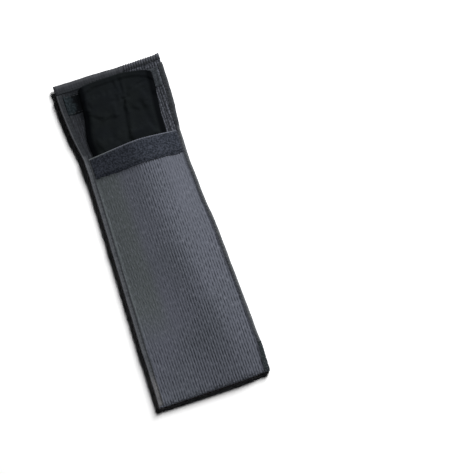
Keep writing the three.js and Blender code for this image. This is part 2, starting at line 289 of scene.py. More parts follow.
def sewn_sheet(name, across, along, shape, relief=None):
    """A grid with its lines at the stations across and along, bent to shape(across, along). relief is a
    height over that shape. The UV map keeps the flat cloth's own place of every point, in metres."""
    bpy.ops.object.select_all(action="DESELECT")
    bpy.ops.mesh.primitive_grid_add(x_subdivisions=len(across) - 1, y_subdivisions=len(along) - 1, size=1)
    piece = bpy.context.object
    piece.name = piece.data.name = name
    points = read_points(piece)
    column, row = np.rint((points[:, :2] + 0.5) * (len(across) - 1, len(along) - 1)).astype(int).T
    u, v = np.asarray(across)[column], np.asarray(along)[row]
    points = np.column_stack(shape(u, v)) * mm
    write_points(piece, points)
    piece.data.update()
    if relief:
        points += read_points(piece, "normal") * relief(u, v)[:, None] * mm
        write_points(piece, points)
    corners = np.empty(len(piece.data.loops), int)
    piece.data.loops.foreach_get("vertex_index", corners)
    flat = np.column_stack((u, v))[corners] * mm
    piece.data.uv_layers.active.data.foreach_set("uv", flat.ravel())
    return piece


def work(piece, kind, **settings):
    """Adds a modifier and applies it."""
    bpy.context.view_layer.objects.active = piece
    modifier = piece.modifiers.new(kind, kind)
    for name, value in settings.items():
        setattr(modifier, name, value)
    bpy.ops.object.modifier_apply(modifier=modifier.name)


def thicken(piece, thickness, finish):
    """Gives a sheet its thickness, in millimetres inwards from its outer face, and its material."""
    work(piece, "SOLIDIFY", thickness=thickness * mm, offset=-1)
    piece.data.shade_smooth()
    piece.data.materials.append(finish)


def edit(piece, *steps):
    """Runs edit mode steps on the whole of a piece. Each step is an operator with its settings."""
    bpy.ops.object.select_all(action="DESELECT")
    piece.select_set(True)
    bpy.context.view_layer.objects.active = piece
    bpy.ops.object.mode_set(mode="EDIT")
    bpy.ops.mesh.select_all(action="SELECT")
    for operator, settings in steps:
        operator(**settings)
    bpy.ops.object.mode_set(mode="OBJECT")


cloth_end_y = flap_end_y - margin_lift
turn_y = fold_tip_y + fold_press * fold_height / 2
back_length = cloth_end_y - turn_y
fold_arc = math.pi * fold_height / 2
front_start = back_length + fold_arc
cover_length = front_start + mouth_y - turn_y
crushed_run = 14  # just above the fold, where the rows of the mesh lie closer


def cover_place(along):
    """Y of a place along the cloth, and how far round the bottom fold it is, from 0 to 1."""
    front = np.maximum(along - front_start, 0)
    y = np.where(along < back_length, cloth_end_y - along, turn_y + front)
    return y, clamp((along - back_length) / fold_arc)


def cover_edges(y):
    half = cover_half(y) - margin_lift
    return left_draw(y) - half, half + right_bow(y)


def cover_shape(across, along):
    """The steeper right side of the front panel takes more cloth than it covers from above."""
    y, turned = cover_place(along)
    taken = mix(0.02, 0.075, smooth((y + 20) / 40)) * np.maximum(across - 6, 0) * smooth(turned)
    x = np.clip(across - taken, *cover_edges(y))
    low = back_height(x, y)
    radius = (front_height(x, y) - low) / 2
    angle = math.pi * turned
    return x, y - fold_press * radius * np.sin(angle), low + radius * (1 - np.cos(angle))


def cord_share(x, y):
    """How far the cords of the front stand up: pressed flat down the left side and at the top right."""
    left = 0.1 + 0.4 * smooth((x + 15) / 14) + 0.4 * smooth((x + 2) / 10) + 0.6 * smooth((-68 - y) / 20)
    top_right = smooth((x - 14) / 10) * smooth((y + 40) / 60)
    return clamp(left) * mix(1, 0.2, top_right)


def cover_relief(across, along):
    y, turned = cover_place(along)
    left, right = cover_edges(y)
    edge_gap = np.minimum(across - left, right - across)
    inside = clamp(edge_gap / 0.5)
    cord = clamp(0.5 + 0.5 * np.cos(2 * math.pi * across / cord_pitch)) ** 0.8
    standing = mix(0.8, cord_share(across, y), smooth((turned - 0.6) / 0.4))
    standing = standing * mix(0.75, 1.1, clamp(unevenness(across, along * 0.6, 9, 4) + 0.5))
    seam = np.exp(-(((edge_gap - 4) / 4) ** 2))
    pucker = 0.22 * seam * (unevenness(across * 0.4, along, 5, 1) - 0.4)
    wave = 0.35 * unevenness(across, along, 38, 2) * smooth(turned)
    return inside * (cord_depth * standing * (cord - 1) + pucker + wave - 0.05)


left_columns = math.ceil((bottom_width / 2 - margin_lift) / cord_pitch * cord_steps)
right_columns = left_columns + 2 * cord_steps
cover_across = np.arange(-left_columns, right_columns + 1) * cord_pitch / cord_steps
cover_along = np.concatenate(
    (
        np.linspace(0, flap_end_y - neck_y, 36, endpoint=False),
        np.linspace(flap_end_y - neck_y, back_length, 42, endpoint=False),
        np.linspace(back_length, front_start, 8, endpoint=False),
        np.linspace(front_start, front_start + crushed_run, 14, endpoint=False),
        np.linspace(front_start + crushed_run, cover_length, 84),
    )
)
cover = sewn_sheet("corded_cover", cover_across, cover_along, cover_shape, cover_relief)
edit(
    cover,
    (bpy.ops.mesh.remove_doubles, {"threshold": 0.02 * mm}),
    (bpy.ops.mesh.dissolve_degenerate, {"threshold": 0.005 * mm}),
)
flat_points = np.empty((len(cover.data.loops), 2))
cover.data.uv_layers.active.data.foreach_get("uv", flat_points.ravel())
corners = np.empty(len(cover.data.loops), int)
cover.data.loops.foreach_get("vertex_index", corners)
flat_of = np.zeros((len(cover.data.vertices), 2))
flat_of[corners] = flat_points / mm
y, turned = cover_place(flat_of[:, 1])
standing = mix(1, cord_share(flat_of[:, 0], y), smooth((turned - 0.6) / 0.4))
cover.data.attributes.new("cord_share", "FLOAT", "POINT").data.foreach_set("value", clamp(standing))
for finish_name in ("corded_polyester", "corded_polyester_back"):
    cover.data.materials.append(bpy.data.materials.new(finish_name))
work(cover, "SOLIDIFY", thickness=cover_cloth * mm, offset=-1, material_offset=1)
cover.data.shade_smooth()

# Dyed polyester, corded: matt and spun, so the cords break up into light and dark flecks, and painted shade
# darkens the grooves between them. It is worn smooth and greener down its left side, but for the bottom.
# Its back, which shows on the open flap, has fewer light flecks, and there painted shade darkens its grooves
# and its left side far more.
patch_size = 35.7  # of patches that took the dye a little differently
fold_speck_size = 1.333
fibre_size = 0.35  # coarser than the real fibres, so that they show
fleck_width = 0.8
fleck_length = 2.9
# the painted shade, in specks, along the bottom fold
fold_shade_grey = "#1f2228"
# cord, patch, painted groove shade, left tone (painted shade on the back), fleck; left tone start and fade;
# flecks
cloth_tones = {
    "corded_polyester": ("#60636e", "#5a5e67", "#2a2d35", "#5a6062", "#787b85", front_start + 42, 24, 1),
    "corded_polyester_back": ("#666973", "#5a5e66", "#111318", "#181b1f", "#787b85", 0, 1, 0.4),
}
for finish_name, (*tones, left_tone_start, left_tone_fade, flecked_most) in cloth_tones.items():
    cord_grey, patch_grey, groove_shade_grey, left_tint_and_shade_grey, fleck_grey = tones
    finish = bpy.data.materials[finish_name]
    finish.use_nodes = True
    tree = finish.node_tree
    tree.nodes.clear()
    flat_cloth = add_node(tree, "ShaderNodeUVMap")
    flat_place = add_node(tree, "ShaderNodeSeparateXYZ", {"Vector": flat_cloth})
    patches = add_node(
        tree, "ShaderNodeTexNoise", {"Vector": flat_cloth, "Scale": 1 / (patch_size * mm), "Detail": 1.0}
    )
    patch_share = add_node(tree, "ShaderNodeMapRange", {"Value": patches, "From Min": 0.3, "From Max": 0.7})
    patched = add_node(
        tree,
        "ShaderNodeMix",
        {"Factor_Float": patch_share, "A_Color": srgb(cord_grey), "B_Color": srgb(patch_grey)},
        data_type="RGBA",
    )
    # The left side is greener on the front; on the back, which shows on the flap, it is painted far darker,
    # as painted shade.
    left_share = add_node(
        tree,
        "ShaderNodeMapRange",
        {"Value": flat_place.outputs["X"], "From Min": -10 * mm, "From Max": -20 * mm},
        interpolation_type="SMOOTHSTEP",
    )
    up_share = add_node(
        tree,
        "ShaderNodeMapRange",
        {
            "Value": flat_place.outputs["Y"],
            "From Min": left_tone_start * mm,
            "From Max": (left_tone_start + left_tone_fade) * mm,
        },
    )
    left_tone_share = add_node(tree, "ShaderNodeMath", {0: left_share, 1: up_share}, operation="MULTIPLY")
    cord = add_node(
        tree,
        "ShaderNodeMix",
        {"Factor_Float": left_tone_share, "A_Color": patched, "B_Color": srgb(left_tint_and_shade_grey)},
        data_type="RGBA",
    )
    # Flecks of the spun yarn, longer along the cords than across them.
    fleck_place = add_node(
        tree,
        "ShaderNodeMapping",
        {"Vector": flat_cloth, "Scale": (1.0, fleck_width / fleck_length, 1.0)},
    )
    flecks = add_node(
        tree, "ShaderNodeTexNoise", {"Vector": fleck_place, "Scale": 1 / (fleck_width * mm), "Detail": 1.0}
    )
    dark_flecks = add_node(
        tree,
        "ShaderNodeMapRange",
        {
            "Value": flecks,
            "From Min": 0.64,
            "From Max": 0.34,
            "To Min": 1 - 0.65 * flecked_most,
            "To Max": 1 + 0.5 * flecked_most,
        },
    )
    light_flecks = add_node(
        tree,
        "ShaderNodeMapRange",
        {"Value": flecks, "From Min": 0.54, "From Max": 0.74, "To Max": 0.5 * flecked_most},
    )
    flecked = add_node(
        tree,
        "ShaderNodeMix",
        {"Factor_Float": light_flecks, "A_Color": cord, "B_Color": srgb(fleck_grey)},
        data_type="RGBA",
    )
    # The wave texture paints shade into the grooves. It fades where the cords are pressed flat, as they do.
    cord_scale = math.pi / 10 / (cord_pitch * mm)
    groove = add_node(
        tree,
        "ShaderNodeTexWave",
        {"Vector": flat_cloth, "Scale": cord_scale, "Distortion": 0.5, "Detail Scale": 0.4},
        bands_direction="X",
    )
    groove_share = add_node(
        tree, "ShaderNodeMapRange", {"Value": groove, "From Min": 0.35, "To Min": 0.05, "To Max": 0.85}
    )
    cords_standing = add_node(tree, "ShaderNodeAttribute", attribute_name="cord_share")
    raised = add_node(tree, "ShaderNodeMapRange", {"Value": cords_standing.outputs["Fac"], "To Min": 0.35})
    open_groove = add_node(tree, "ShaderNodeMath", {0: groove_share, 1: raised}, operation="MULTIPLY")
    groove_shade_share = add_node(
        tree, "ShaderNodeMath", {0: open_groove, 1: dark_flecks}, operation="MULTIPLY", use_clamp=True
    )
    groove_shaded = add_node(
        tree,
        "ShaderNodeMix",
        {"Factor_Float": groove_shade_share, "A_Color": flecked, "B_Color": srgb(groove_shade_grey)},
        data_type="RGBA",
    )
    # Along the bottom fold, painted shade darkens the cloth in irregular specks, where it turns down.
    off_fold = add_node(
        tree, "ShaderNodeMath", {0: flat_place.outputs["Y"], 1: front_start * mm}, operation="SUBTRACT"
    )
    near_fold = add_node(
        tree, "ShaderNodeMapRange", {"Value": off_fold, "From Min": 3.2 * mm, "From Max": 0.5 * mm}
    )
    fold_specks = add_node(
        tree, "ShaderNodeTexNoise", {"Vector": flat_cloth, "Scale": 1 / (fold_speck_size * mm), "Detail": 1.0}
    )
    fold_speck_share = add_node(
        tree, "ShaderNodeMapRange", {"Value": fold_specks, "From Min": 0.44, "From Max": 0.58, "To Max": 0.8}
    )
    fold_shade_share = add_node(tree, "ShaderNodeMath", {0: near_fold, 1: fold_speck_share}, operation="MULTIPLY")
    cloth_colour_and_shade = add_node(
        tree,
        "ShaderNodeMix",
        {"Factor_Float": fold_shade_share, "A_Color": groove_shaded, "B_Color": srgb(fold_shade_grey)},
        data_type="RGBA",
    )
    along_cords = add_node(tree, "ShaderNodeMapping", {"Vector": flat_cloth, "Scale": (1.0, 0.3, 1.0)})
    fibres = add_node(tree, "ShaderNodeTexNoise", {"Vector": along_cords, "Scale": 1 / (fibre_size * mm)})
    fleck_bump = add_node(
        tree, "ShaderNodeBump", {"Height": flecks, "Strength": 0.6, "Distance": 0.35 * mm}
    )
    fibre_bump = add_node(
        tree,
        "ShaderNodeBump",
        {"Height": fibres, "Strength": 0.5, "Distance": 0.1 * mm, "Normal": fleck_bump},
    )
    cloth = add_node(
        tree,
        "ShaderNodeBsdfPrincipled",
        {
            "Base Color": cloth_colour_and_shade,
            "Roughness": 0.92,
            "Specular IOR Level": 0.25,
            "Normal": fibre_bump,
            "Sheen Weight": 0.15,
        },
    )
    add_node(tree, "ShaderNodeOutputMaterial", {"Surface": cloth})
bpy.ops.object.select_all(action="DESELECT")
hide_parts("sleeve_cloth", "flap_cloth")
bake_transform(cover)

# Side tapes: woven polyester tape, doubled over the raw side edges from the bottom of the pouch to the
# end of the flap, and sewn through with one line of lockstitch. The right one was fed in narrower.
two_layer_top = 3.15
one_layer_top = 2.2
mouth_step = 4
tape_turn_depth = 0.8
tape_turn = 3.9
tape_leg = tape_width - tape_turn_depth
tape_flat = 2 * tape_leg + tape_turn
weave_pitch = 1.0
stitch_pitch = 2.6
stitch_inset = 1.1  # from the free edge of the tape
tape_start_y = fold_tip_y + 0.5  # its cut ends are flush with the fold of the cloth beside them


def sleeve_tape_top(y):
    """Height of the tape: its cut end is pressed thinner, and it binds one layer past the mouth."""
    pressed = 0.75 * smooth((tape_start_y + 3 - y) / 3)
    return mix(two_layer_top - pressed, one_layer_top, smooth((y - mouth_y) / mouth_step))


def tape_section(across, low, high):
    """Depth from the bound edge, and height, of the outer face of a tape folded over it."""
    turned = clamp((across - tape_leg) / tape_turn)
    free = tape_flat - across
    depth = tape_width - np.minimum(np.minimum(across, free), tape_leg)
    pressed = 0.22 * smooth(1 - free / 1.8) + 0.14 * np.exp(-(((free - stitch_inset) / 0.35) ** 2))
    rise = (1 - np.cos(math.pi * turned)) / 2
    return depth - tape_turn_depth * np.sin(math.pi * turned), mix(low, high, rise) - pressed * (turned == 1)


def tape_relief(across, along):
    """Weave, puckers and waves of a tape. Its under leg is pressed flat on what the pouch lies on."""
    free = tape_flat - across
    weave = 0.05 * np.cos(2 * math.pi * along / weave_pitch)
    pucker = 0.07 * np.cos(2 * math.pi * along / stitch_pitch) * np.exp(-(((free - stitch_inset) / 1.2) ** 2))
    shown = mix(0.1, 1, smooth((across - tape_leg) / 1.5))
    return shown * (weave + pucker + 0.16 * unevenness(along, across, 7, 5))


tape_across = np.concatenate(
    (
        np.linspace(0, tape_leg, 4, endpoint=False),
        np.linspace(tape_leg, tape_leg + tape_turn, 7, endpoint=False),
        np.linspace(tape_leg + tape_turn, tape_flat, 10),
    )
)
side_tape_length = flap_end_y - end_tape_width - tape_start_y


def side_tape_edge(side, y):
    bow = right_bow(y) if side > 0 else -left_draw(y)
    return side * (cover_half(y) + 0.25 * unevenness(y, 0 * y, 16, 8 + side) + bow)


def side_tape_shape(side):
    def shape(across, along):
        y = tape_start_y + along
        depth, z = tape_section(across, 0, sleeve_tape_top(y))
        x = side_tape_edge(side, y) - side * depth * tape_share(side, y)
        return x, y, z + edge_curl(x, y)

    return shape


def repeated(name, unit, places):
    """One mesh with a copy of unit at every place, which is a 4x4 matrix. The unit itself is removed."""
    corners = np.array([(*vertex.co, 1) for vertex in unit.data.vertices])
    faces = [np.array(face.vertices) for face in unit.data.polygons]
    points = np.concatenate([(corners @ np.array(place).T)[:, :3] for place in places])
    starts = range(0, len(points), len(corners))
    mesh = bpy.data.meshes.new(name)
    mesh.from_pydata(points.tolist(), [], [(face + start).tolist() for start in starts for face in faces])
    mesh.shade_smooth()
    piece = bpy.data.objects.new(name, mesh)
    bpy.context.scene.collection.objects.link(piece)
    bpy.data.objects.remove(unit)
    return piece


def new_stitch(length, sink, thread=0.34):
    """A stitch of sewing thread: it lies along Y, and its ends go into the cloth, down or up."""
    bpy.ops.object.select_all(action="DESELECT")
    bpy.ops.mesh.primitive_cube_add(size=1)
    stitch = bpy.context.object
    edit(
        stitch,
        (bpy.ops.transform.resize, {"value": (thread * mm, length * mm, thread * mm)}),
        (bpy.ops.mesh.subdivide, {}),
    )
    for vertex in stitch.data.vertices:
        vertex.co.z -= sink * 0.9 * thread * mm * (abs(vertex.co.y) > length * mm / 3)
    return stitch


def stitched(name, points, length=1.9, sink=1):
    """A line of stitches, one between every two points of a path in millimetres. sink is -1 on a face
    that looks down."""
    places = []
    for start, end in zip(points[:-1], points[1:]):
        ahead = (Vector(end) - Vector(start)).normalized()
        aside = ahead.cross(Vector((0, 0, 1))).normalized()
        axes = Matrix((aside, ahead, aside.cross(ahead))).transposed().to_4x4()
        places.append(Matrix.Translation((Vector(start) + Vector(end)) / 2 * mm) @ axes)
    seam = repeated(name, new_stitch(length, sink), places)
    seam.data.materials.append(sewing_thread)
    return seam


# Spun polyester thread: dull, with the twist of its plies.
twist_size = 1 / 3
thread_grey = "#1d1f23"
sewing_thread, tree = new_finish("spun_polyester_thread")
spun = add_node(tree, "ShaderNodeTexCoord")
twist = add_node(
    tree, "ShaderNodeTexNoise", {"Vector": spun.outputs["Object"], "Scale": 1 / (twist_size * mm)}
)
twist_bump = add_node(tree, "ShaderNodeBump", {"Height": twist, "Strength": 0.6, "Distance": 0.05 * mm})
thread = add_node(
    tree,
    "ShaderNodeBsdfPrincipled",
    {"Base Color": srgb(thread_grey), "Roughness": 0.8, "Normal": twist_bump, "Sheen Weight": 0.1},
)
add_node(tree, "ShaderNodeOutputMaterial", {"Surface": thread})


mottle_size = 4.17
yarn_size = 0.3571  # coarser than the real yarns, so that they show
fold_lighter_grey = "#8d9094"
shade_grey = "#24272b"


def woven_tape(name, tone_stages, fold_lighter_most, shaded_most):
    """Woven polyester tape: matt, mottled in a light and a dark tone, which change at each stage's place
    along it. It is lighter along the shoulder of its fold, and has painted shade along its free edge,
    where the stitches pull it down."""
    finish, tree = new_finish(name)
    flat_tape = add_node(tree, "ShaderNodeUVMap")
    place = add_node(tree, "ShaderNodeSeparateXYZ", {"Vector": flat_tape})
    worn = add_node(
        tree, "ShaderNodeTexNoise", {"Vector": flat_tape, "Scale": 1 / (mottle_size * mm), "Detail": 3.0}
    )
    worn_share = add_node(tree, "ShaderNodeMapRange", {"Value": worn, "From Min": 0.35, "From Max": 0.65})
    tape_tone = None
    # Each stage's tones; the side tapes' stage past the mouth is darker, as painted shade on the flap.
    for start, light, dark in tone_stages:
        tone = add_node(
            tree,
            "ShaderNodeMix",
            {"Factor_Float": worn_share, "A_Color": srgb(light), "B_Color": srgb(dark)},
            data_type="RGBA",
        )
        reached = add_node(
            tree,
            "ShaderNodeMapRange",
            {"Value": place.outputs["Y"], "From Min": (start - 4) * mm, "From Max": (start + 4) * mm},
        )
        if tape_tone:
            tone = add_node(
                tree,
                "ShaderNodeMix",
                {"Factor_Float": reached, "A_Color": tape_tone, "B_Color": tone},
                data_type="RGBA",
            )
        tape_tone = tone
    fold = (tape_leg + tape_turn) * mm
    off_fold = add_node(tree, "ShaderNodeMath", {0: place.outputs["X"], 1: fold}, operation="SUBTRACT")
    off_fold = add_node(tree, "ShaderNodeMath", {0: off_fold}, operation="ABSOLUTE")
    fold_lighter_share = add_node(
        tree,
        "ShaderNodeMapRange",
        {"Value": off_fold, "From Min": 0.9 * mm, "From Max": 0.3 * mm, "To Max": fold_lighter_most},
    )
    fold_lighter_tone = add_node(
        tree,
        "ShaderNodeMix",
        {"Factor_Float": fold_lighter_share, "A_Color": tape_tone, "B_Color": srgb(fold_lighter_grey)},
        data_type="RGBA",
    )
    shaded = add_node(
        tree,
        "ShaderNodeMapRange",
        {
            "Value": place.outputs["X"],
            "From Min": (tape_flat - 1.5) * mm,
            "From Max": (tape_flat - 0.9) * mm,
            "To Max": shaded_most,
        },
    )
    edged = add_node(
        tree,
        "ShaderNodeMix",
        {"Factor_Float": shaded, "A_Color": fold_lighter_tone, "B_Color": srgb(shade_grey)},
        data_type="RGBA",
    )
    yarns = add_node(tree, "ShaderNodeTexNoise", {"Vector": flat_tape, "Scale": 1 / (yarn_size * mm)})
    yarn_bump = add_node(tree, "ShaderNodeBump", {"Height": yarns, "Strength": 0.6, "Distance": 0.08 * mm})
    weave = add_node(
        tree,
        "ShaderNodeBsdfPrincipled",
        {
            "Base Color": edged,
            "Roughness": 0.9,
            "Specular IOR Level": 0.2,
            "Normal": yarn_bump,
            "Sheen Weight": 0.1,
        },
    )
    add_node(tree, "ShaderNodeOutputMaterial", {"Surface": weave})
    return finish


mouth_place = mouth_y - tape_start_y
tape_looks = {
    # light and dark tone from each place on, darker past the mouth as painted shade on the flap; then how far
    # the fold is lightened, and how far the free edge is painted with shade
    "left": (
        ((0, "#6e6e70", "#58585b"), (22, "#525559", "#42454a"), (mouth_place, "#2f3236", "#202327")),
        0.2,
        0.7,
    ),
    "right": (((0, "#65686a", "#56595e"), (mouth_place, "#3c3f43", "#2b2e32")), 0.1, 0.25),
}
for name, side in (("left", -1), ("right", 1)):
    tape_along = np.linspace(0, side_tape_length, 900)
    shape = side_tape_shape(side)
    tape = sewn_sheet(f"edge_tape_{name}", tape_across, tape_along[::-side], shape, tape_relief)
    thicken(tape, tape_cloth, woven_tape(f"woven_tape_{name}", *tape_looks[name]))
    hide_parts(f"sleeve_tape_{name}", f"flap_tape_{name}")
    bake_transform(tape)
    # The right one is cut narrower than a sheet's least flat width, so its own width is in its area.
    faces = (("top", tape_flat - stitch_inset, 0.05, 1), ("back", stitch_inset, 0.1, -1))
    for face, across, rise, sink in faces:
        stations = np.arange(1.4, side_tape_length - 1, stitch_pitch)
        x, y, z = shape(np.full_like(stations, across), stations)
        seam = stitched(f"tape_stitches_{name}_{face}", list(zip(x, y, z + rise)), sink=sink)
        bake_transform(seam)

# End tape: the same tape, wider, doubled over the raw end of the flap. It is joined right of the middle,
# where one end laps over the other, and the cords of the cloth show through its right half.
joint_x = 11
end_half = flap_width / 2
end_share = end_tape_width / tape_width
right_end_share = 1.15  # past the joint the tape is narrower


def end_tape_shape(across, along):
    x = along - end_half
    lapped = smooth((joint_x - x) / 0.5)
    corner = smooth((end_half - np.abs(x)) / 1.4)
    top = one_layer_top * mix(0.7, 1, corner) + 0.3 * lapped * smooth((x - joint_x + 4) / 4)
    depth, z = tape_section(across, 0, top)
    tip = 0.6 * np.exp(-(((x - end_half + 1) / 1.6) ** 2))
    edge = flap_end_y + 0.65 - 0.85 * smooth((x + 18) / 28) + tip + 0.12 * unevenness(x, 0 * x, 14, 12)
    return x, edge - depth * mix(right_end_share, end_share, lapped), z + edge_curl(x, edge)


def end_tape_relief(across, along):
    x = along - end_half
    cords = mix(0.04, 0.22, smooth((x - joint_x + 3) / 6)) * np.cos(2 * math.pi * x / cord_pitch)
    shown = mix(0.1, 1, smooth((across - tape_leg) / 1.5))
    return shown * (cords + 0.15 * unevenness(across, along, 6, 13))


end_tape_along = np.linspace(0, flap_width, 320)
end_tape = sewn_sheet("edge_tape_end", tape_across, end_tape_along, end_tape_shape, end_tape_relief)
# Its tones are darker than the tape on the sleeve, as painted shade on the flap, like the side tapes past the
# mouth.
end_tones = ((0, "#35373c", "#27292d"), (end_half + joint_x, "#4a4c53", "#303237"))
thicken(end_tape, tape_cloth, woven_tape("woven_tape_end", end_tones, 0.12, 0.9))
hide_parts("flap_tape_end")
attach(end_tape, "flap")
stations = np.arange(1.2, flap_width - 1, stitch_pitch)
x, y, z = end_tape_shape(np.full_like(stations, tape_flat - stitch_inset), stations)
end_seam = stitched("end_tape_stitches", list(zip(x, y, z + 0.05)))
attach(end_seam, "flap")

# Loop strip: the soft half of a hook and loop fastening, a knitted nylon strip whose pile is brushed up
# into a mat of small loops. It is sewn across the front just below the mouth.
strip_width = 14
loop_low_y = 47.9
loop_cloth = 0.35
loop_rise = 0.9  # from the cloth to the ground of the pile
strip_half = seam_half(np.array(loop_low_y)) + 0.3
strip_end = strip_half + 2.6  # it reaches further on the right, where the tape is narrow


def steepness(height, x, y):
    """How much longer a vertical cut through a sloping layer is than its thickness."""
    step = 0.05
    slope_x = (height(x + step, y) - height(x - step, y)) / (2 * step)
    slope_y = (height(x, y + step) - height(x, y - step)) / (2 * step)
    return np.sqrt(1 + slope_x**2 + slope_y**2)


def loop_place(x, y, rise):
    return front_height(x, y) + rise * steepness(front_height, x, y)


def loop_shape(across, along):
    ends = np.minimum(strip_half + across, strip_end - across)
    hem = smooth(np.minimum(np.minimum(ends, along / 3), strip_width - along) / 0.7)
    frayed = unevenness(across, 0 * across, 6, 3) + 0.9 * unevenness(across, 0 * across, 1.2, 6)
    wider = mix(0.9, 2.2, smooth((across + 30) / 20))
    y = loop_low_y + along + (0.7 * frayed - wider) * (1 - along / strip_width) ** 2
    return across, y, loop_place(across, y, mix(0.3, loop_rise, hem))


def loop_relief(across, along):
    return 0.11 * unevenness(across, along, 1.5, 7) + 0.07 * unevenness(across, along, 0.6, 9)


loop_strip = sewn_sheet(
    "pile_strip",
    np.linspace(-strip_half, strip_end, 156),
    np.linspace(0, strip_width, 36),
    loop_shape,
    loop_relief,
)

# Brushed nylon pile: very dull, in mottles of light and dark where the loops lie over or stand up.
pile_mottle_size = 1.176
nylon_pile, tree = new_finish("brushed_nylon_pile")
pile_place = add_node(tree, "ShaderNodeTexCoord")
mottles = add_node(
    tree,
    "ShaderNodeTexNoise",
    {"Vector": pile_place.outputs["Object"], "Scale": 1 / (pile_mottle_size * mm)},
)
mottle_share = add_node(tree, "ShaderNodeMapRange", {"Value": mottles, "From Min": 0.4, "From Max": 0.62})
pile_colour = add_node(
    tree,
    "ShaderNodeMix",
    {"Factor_Float": mottle_share, "A_Color": srgb("#20242b"), "B_Color": srgb("#3d414b")},
    data_type="RGBA",
)
pile = add_node(
    tree,
    "ShaderNodeBsdfPrincipled",
    {"Base Color": pile_colour, "Roughness": 1.0, "Specular IOR Level": 0.1, "Sheen Weight": 0.1},
)
add_node(tree, "ShaderNodeOutputMaterial", {"Surface": pile})
thicken(loop_strip, loop_cloth, nylon_pile)
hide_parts("loop_strip")
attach(loop_strip, "sleeve")


def new_arc(radius, thickness, turn, steps):
    """A short closed tube bent round an arc in the XZ plane, that starts upwards."""
    bpy.ops.object.select_all(action="DESELECT")
    bpy.ops.mesh.primitive_circle_add(vertices=4, radius=thickness / 2 * mm, fill_type="NGON")
    arc = bpy.context.object
    edit(
        arc,
        (
            bpy.ops.mesh.spin,
            {"steps": steps, "angle": math.radians(turn), "center": (radius * mm, 0, 0), "axis": (0, 1, 0)},
        ),
        (bpy.ops.mesh.select_all, {"action": "SELECT"}),
        (bpy.ops.mesh.normals_make_consistent, {"inside": False}),
    )
    return arc


chance = np.random.default_rng(11)
loop_count = 2000
loop_radius = 0.35
loop_thread = 0.11  # coarser than the real pile, so that it shows
places = []
for x, along, yaw, size in zip(
    chance.uniform(-strip_half + 0.6, strip_end - 1.2, loop_count),
    chance.uniform(-2.6, strip_width - 0.4, loop_count),
    chance.uniform(0, 2 * math.pi, loop_count),
    chance.uniform(0.7, 1.3, loop_count),
):
    y = loop_low_y + along
    rise = mix(0, loop_rise - 0.1, clamp((along + 1.5) / 1.5))
    foot = Vector((x, y, float(loop_place(np.array(x), np.array(y), rise)))) * mm
    places.append(Matrix.Translation(foot) @ Matrix.Rotation(yaw, 4, "Z") @ Matrix.Scale(size, 4))
pile_loops = repeated("pile_loops", new_arc(loop_radius, loop_thread, 180, 5), places)
pile_loops.data.materials.append(nylon_pile)
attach(pile_loops, "sleeve")
strip_seam_inset = 0.9
for name, along in (("low", strip_seam_inset + 0.5), ("high", strip_width - strip_seam_inset)):
    x = np.arange(-strip_half + 1, strip_end - 1, stitch_pitch)
    y = np.full_like(x, loop_low_y + along)
    border_seam = stitched(f"loop_seam_{name}", list(zip(x, y, loop_place(x, y, loop_rise))))
    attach(border_seam, "sleeve")

# Hook strip: the stiff half of the fastening, a woven nylon strip with rows of small cut hooks, sewn
# across the inner face of the flap where the folded flap meets the loops.
hook_low_y = 96.5
hook_half = 34.8
hook_cloth = 0.5
hook_ground = 1.5
hook_row_pitch = 1.35
hook_pitch = 1.3
hook_radius = 0.26
hook_thread = 0.2


def hook_shape(across, along):
    hem = smooth(np.minimum(hook_half - np.abs(across), np.minimum(along, strip_width - along)) / 0.5)
    y = hook_low_y + along
    return across, y, back_height(across, y) + mix(hook_ground - 0.3, hook_ground, hem)


def hook_relief(across, along):
    return 0.05 * np.cos(2 * math.pi * along / 0.9) * np.cos(2 * math.pi * across / 1.2)


hook_across = np.linspace(-hook_half, hook_half, 170)
hook_along = np.linspace(0, strip_width, 48)
hook_strip = sewn_sheet("hook_ground", hook_across, hook_along, hook_shape, hook_relief)

# Cut nylon hooks: dull, and dark slate at the two ends of the strip, from ragged lines on. Between them they
# are painted black, as painted shadow beside the wallet's tail; the right end is painted lighter, as a
# painted sheen.
nylon_mottle_size = 1.429
ragged_size = 2.857
nylon_hooks, tree = new_finish("cut_nylon_hooks")
nylon_place = add_node(tree, "ShaderNodeTexCoord")
nylon_across = add_node(tree, "ShaderNodeSeparateXYZ", {"Vector": nylon_place.outputs["Object"]})
nylon_tone = add_node(
    tree,
    "ShaderNodeTexNoise",
    {"Vector": nylon_place.outputs["Object"], "Scale": 1 / (nylon_mottle_size * mm), "Detail": 3.0},
)
nylon_share = add_node(
    tree, "ShaderNodeMapRange", {"Value": nylon_tone, "From Min": 0.35, "From Max": 0.65}
)
ragged = add_node(
    tree,
    "ShaderNodeTexNoise",
    {"Vector": nylon_place.outputs["Object"], "Scale": 1 / (ragged_size * mm), "Detail": 4.0},
)
ragged_shift = add_node(
    tree,
    "ShaderNodeMapRange",
    {"Value": ragged, "From Min": 0.3, "From Max": 0.7, "To Min": -3 * mm, "To Max": 3 * mm},
)
ragged_across = add_node(
    tree, "ShaderNodeMath", {0: nylon_across.outputs["X"], 1: ragged_shift}, operation="ADD"
)
